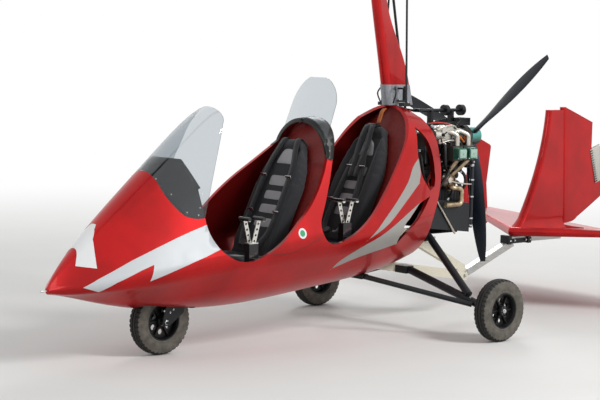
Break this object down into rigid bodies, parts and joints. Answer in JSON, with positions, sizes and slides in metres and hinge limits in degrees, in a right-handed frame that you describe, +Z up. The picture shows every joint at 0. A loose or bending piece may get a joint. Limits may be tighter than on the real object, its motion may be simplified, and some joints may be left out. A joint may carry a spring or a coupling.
{
  "type": "gyrocopter",
  "caption": "Open tandem two-seat gyrocopter with a composite hull, blown windscreens, flat pusher engine, teetering rotor on a swept mast and twin-endplate tail",
  "frame": {"origin": "on the ground straight below the rotor's teeter bolt, rotor parked fore and aft", "axes": "+X to the port side, +Y aft, +Z up"},
  "size_m": [2.3486, 8.4, 2.751],
  "materials": {
    "painted_composite": "gloss",
    "clear_acrylic": "clear",
    "black_composite": "matt",
    "seat_cloth": "matt",
    "cream_steel": "satin",
    "bare_aluminium": "satin",
    "black_steel": "satin",
    "engine_alloy": "cast",
    "green_alloy": "satin",
    "black_alloy": "satin",
    "exhaust_steel": "worn",
    "blade_composite": "satin",
    "tyre_rubber": "worn"
  },
  "bodies": {
    "airframe": {"body_shell": "painted_composite", "hump_fairing": "painted_composite", "mast": "painted_composite", "stabiliser": "painted_composite", "fin": "painted_composite", "endplates": "painted_composite", "windscreen_front": "clear_acrylic", "windscreen_rear": "clear_acrylic", "instrument_cowl": "black_composite", "seat_bases": "black_composite", "front_seat": "seat_cloth", "rear_seat": "seat_cloth", "keel_frame": "cream_steel", "tail_boom": "bare_aluminium", "mast_sleeve": "bare_aluminium", "mast_head": "bare_aluminium", "lever_quadrants": "bare_aluminium", "pitot_tube": "bare_aluminium", "boom_clamp": "black_steel", "mast_frame": "black_steel", "control_rods": "black_steel", "prerotator_drive": "black_steel", "gear_legs": "black_steel", "gear_struts": "black_steel", "nose_head": "black_steel", "control_sticks": "black_steel", "engine_block": "engine_alloy", "gearbox": "engine_alloy", "cylinder_banks": "engine_alloy", "intake_system": "engine_alloy", "rocker_covers": "green_alloy", "radiator_box": "black_alloy", "exhaust_system": "exhaust_steel"},
    "nose_steering": {"nose_fork": "black_steel"},
    "nose_wheel": {"nose_rim": "black_alloy", "nose_tyre": "tyre_rubber"},
    "port_wheel": {"main_port_rim": "black_alloy", "main_port_tyre": "tyre_rubber"},
    "starboard_wheel": {"main_stbd_rim": "black_alloy", "main_stbd_tyre": "tyre_rubber"},
    "rudder": {"rudder": "painted_composite"},
    "propeller": {"prop_hub": "bare_aluminium", "prop_blades": "blade_composite"},
    "gimbal": {"gimbal_block": "bare_aluminium"},
    "rotor_mount": {"torque_bar": "bare_aluminium"},
    "rotor_spindle": {"rotor_tower": "bare_aluminium"},
    "rotor": {"hub_bar": "bare_aluminium", "rotor_blades": "blade_composite"}
  },
  "joints": [
    {"name": "nose_steer", "type": "hinge", "parent": "airframe", "child": "nose_steering", "pos_m": [0, -1.68, 0.2025], "axis": [0, 0.2588, 0.9659], "range_deg": [-18, 18]},
    {"name": "nose_wheel_spin", "type": "hinge", "parent": "nose_steering", "child": "nose_wheel", "pos_m": [0, -1.68, 0.2025], "axis": [1, 0, 0], "continuous": true},
    {"name": "port_wheel_spin", "type": "hinge", "parent": "airframe", "child": "port_wheel", "pos_m": [0.876, 0.382, 0.2025], "axis": [1, 0, 0], "continuous": true},
    {"name": "starboard_wheel_spin", "type": "hinge", "parent": "airframe", "child": "starboard_wheel", "pos_m": [-0.876, 0.382, 0.2025], "axis": [1, 0, 0], "continuous": true},
    {"name": "rudder_hinge", "type": "hinge", "parent": "airframe", "child": "rudder", "pos_m": [0, 2.0392, 0.592], "axis": [0, -0.0455, 0.999], "range_deg": [-25, 25]},
    {"name": "propeller_spin", "type": "hinge", "parent": "airframe", "child": "propeller", "pos_m": [0, 1.01, 1.261], "axis": [0, 1, 0], "continuous": true},
    {"name": "head_pitch", "type": "hinge", "parent": "airframe", "child": "gimbal", "pos_m": [0, -0.02, 2.556], "axis": [-1, 0, 0], "range_deg": [-3, 8]},
    {"name": "head_roll", "type": "hinge", "parent": "gimbal", "child": "rotor_mount", "pos_m": [0, -0.02, 2.59], "axis": [0, 1, 0], "range_deg": [-7, 7]},
    {"name": "rotor_spin", "type": "hinge", "parent": "rotor_mount", "child": "rotor_spindle", "pos_m": [0, 0, 2.64], "axis": [0, 0, 1], "continuous": true},
    {"name": "rotor_teeter", "type": "hinge", "parent": "rotor_spindle", "child": "rotor", "pos_m": [0, 0, 2.735], "axis": [1, 0, 0], "range_deg": [-6, 6]}
  ]
}
